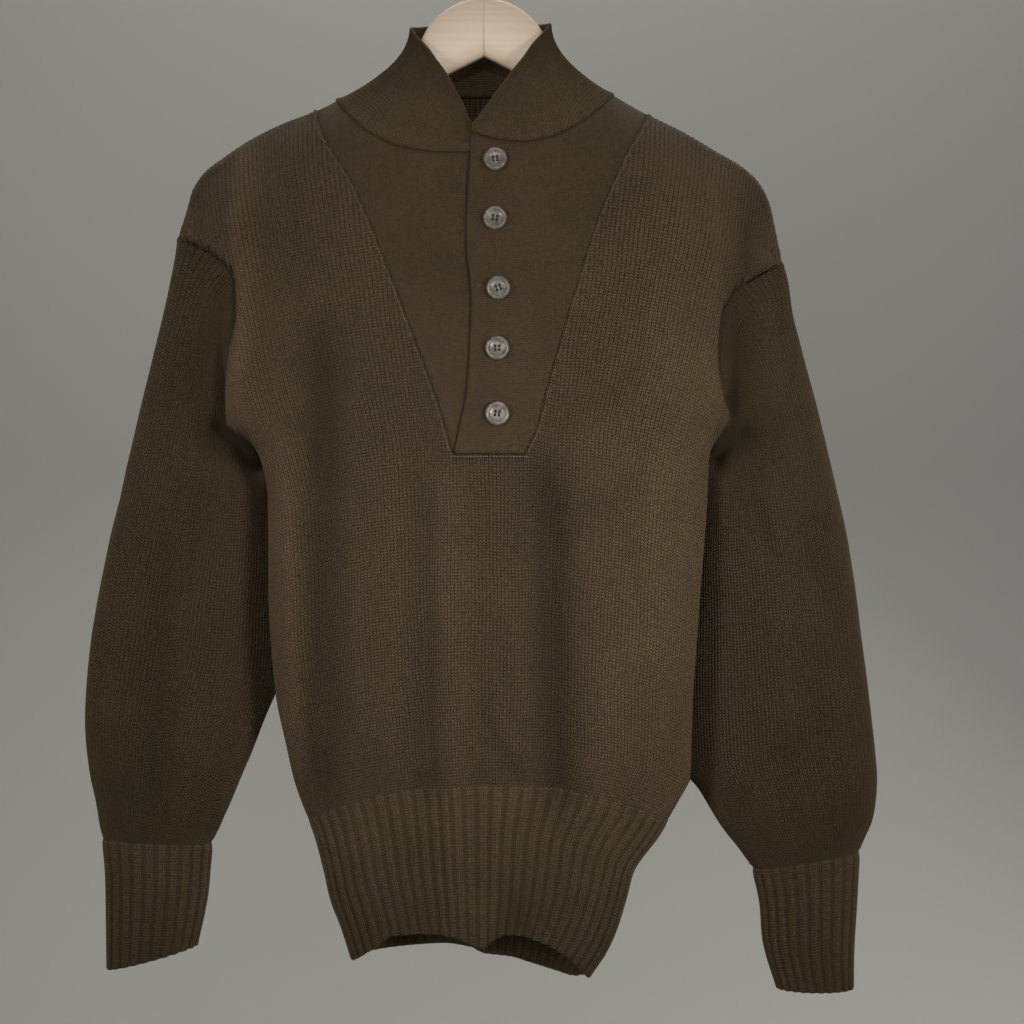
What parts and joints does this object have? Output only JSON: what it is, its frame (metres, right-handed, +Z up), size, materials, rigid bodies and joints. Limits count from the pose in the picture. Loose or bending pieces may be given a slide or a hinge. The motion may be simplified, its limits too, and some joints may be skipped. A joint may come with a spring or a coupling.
{
  "type": "henley sweater on a hanger",
  "caption": "Long-sleeved knitted henley sweater with a fine-knit V bib, buttoned placket, open standing collar and deep ribbed cuffs and waist, hung on a contoured wooden hanger by its hook.",
  "frame": {"origin": "inner crown of the hanger's hook, where it rests on a rail", "axes": "+Z up, +Y towards the sweater's back, so the buttons face -Y, and +X towards the wearer's left"},
  "size_m": [0.6248, 0.1424, 0.8705],
  "materials": {
    "body_knit": "coarse brown olive knit",
    "bib_knit": "fine brown olive knit",
    "rib_knit": "ribbed brown olive knit",
    "button": "glossy grey brown",
    "hanger_wood": "pale varnished wood",
    "hook_wire": "bright plated wire"
  },
  "bodies": {
    "root": {"body_front": "body_knit", "body_back": "body_knit", "sleeve_right": "body_knit", "sleeve_left": "body_knit", "cuff_right": "rib_knit", "cuff_left": "rib_knit", "waistband_front": "rib_knit", "waistband_back": "rib_knit", "bib_under": "bib_knit", "bib_over": "bib_knit", "collar": "bib_knit", "button_1": "button", "button_2": "button", "button_3": "button", "button_4": "button", "button_5": "button", "hanger_arm_right": "hanger_wood", "hanger_arm_left": "hanger_wood", "hanger_hook": "hook_wire"}
  },
  "joints": []
}
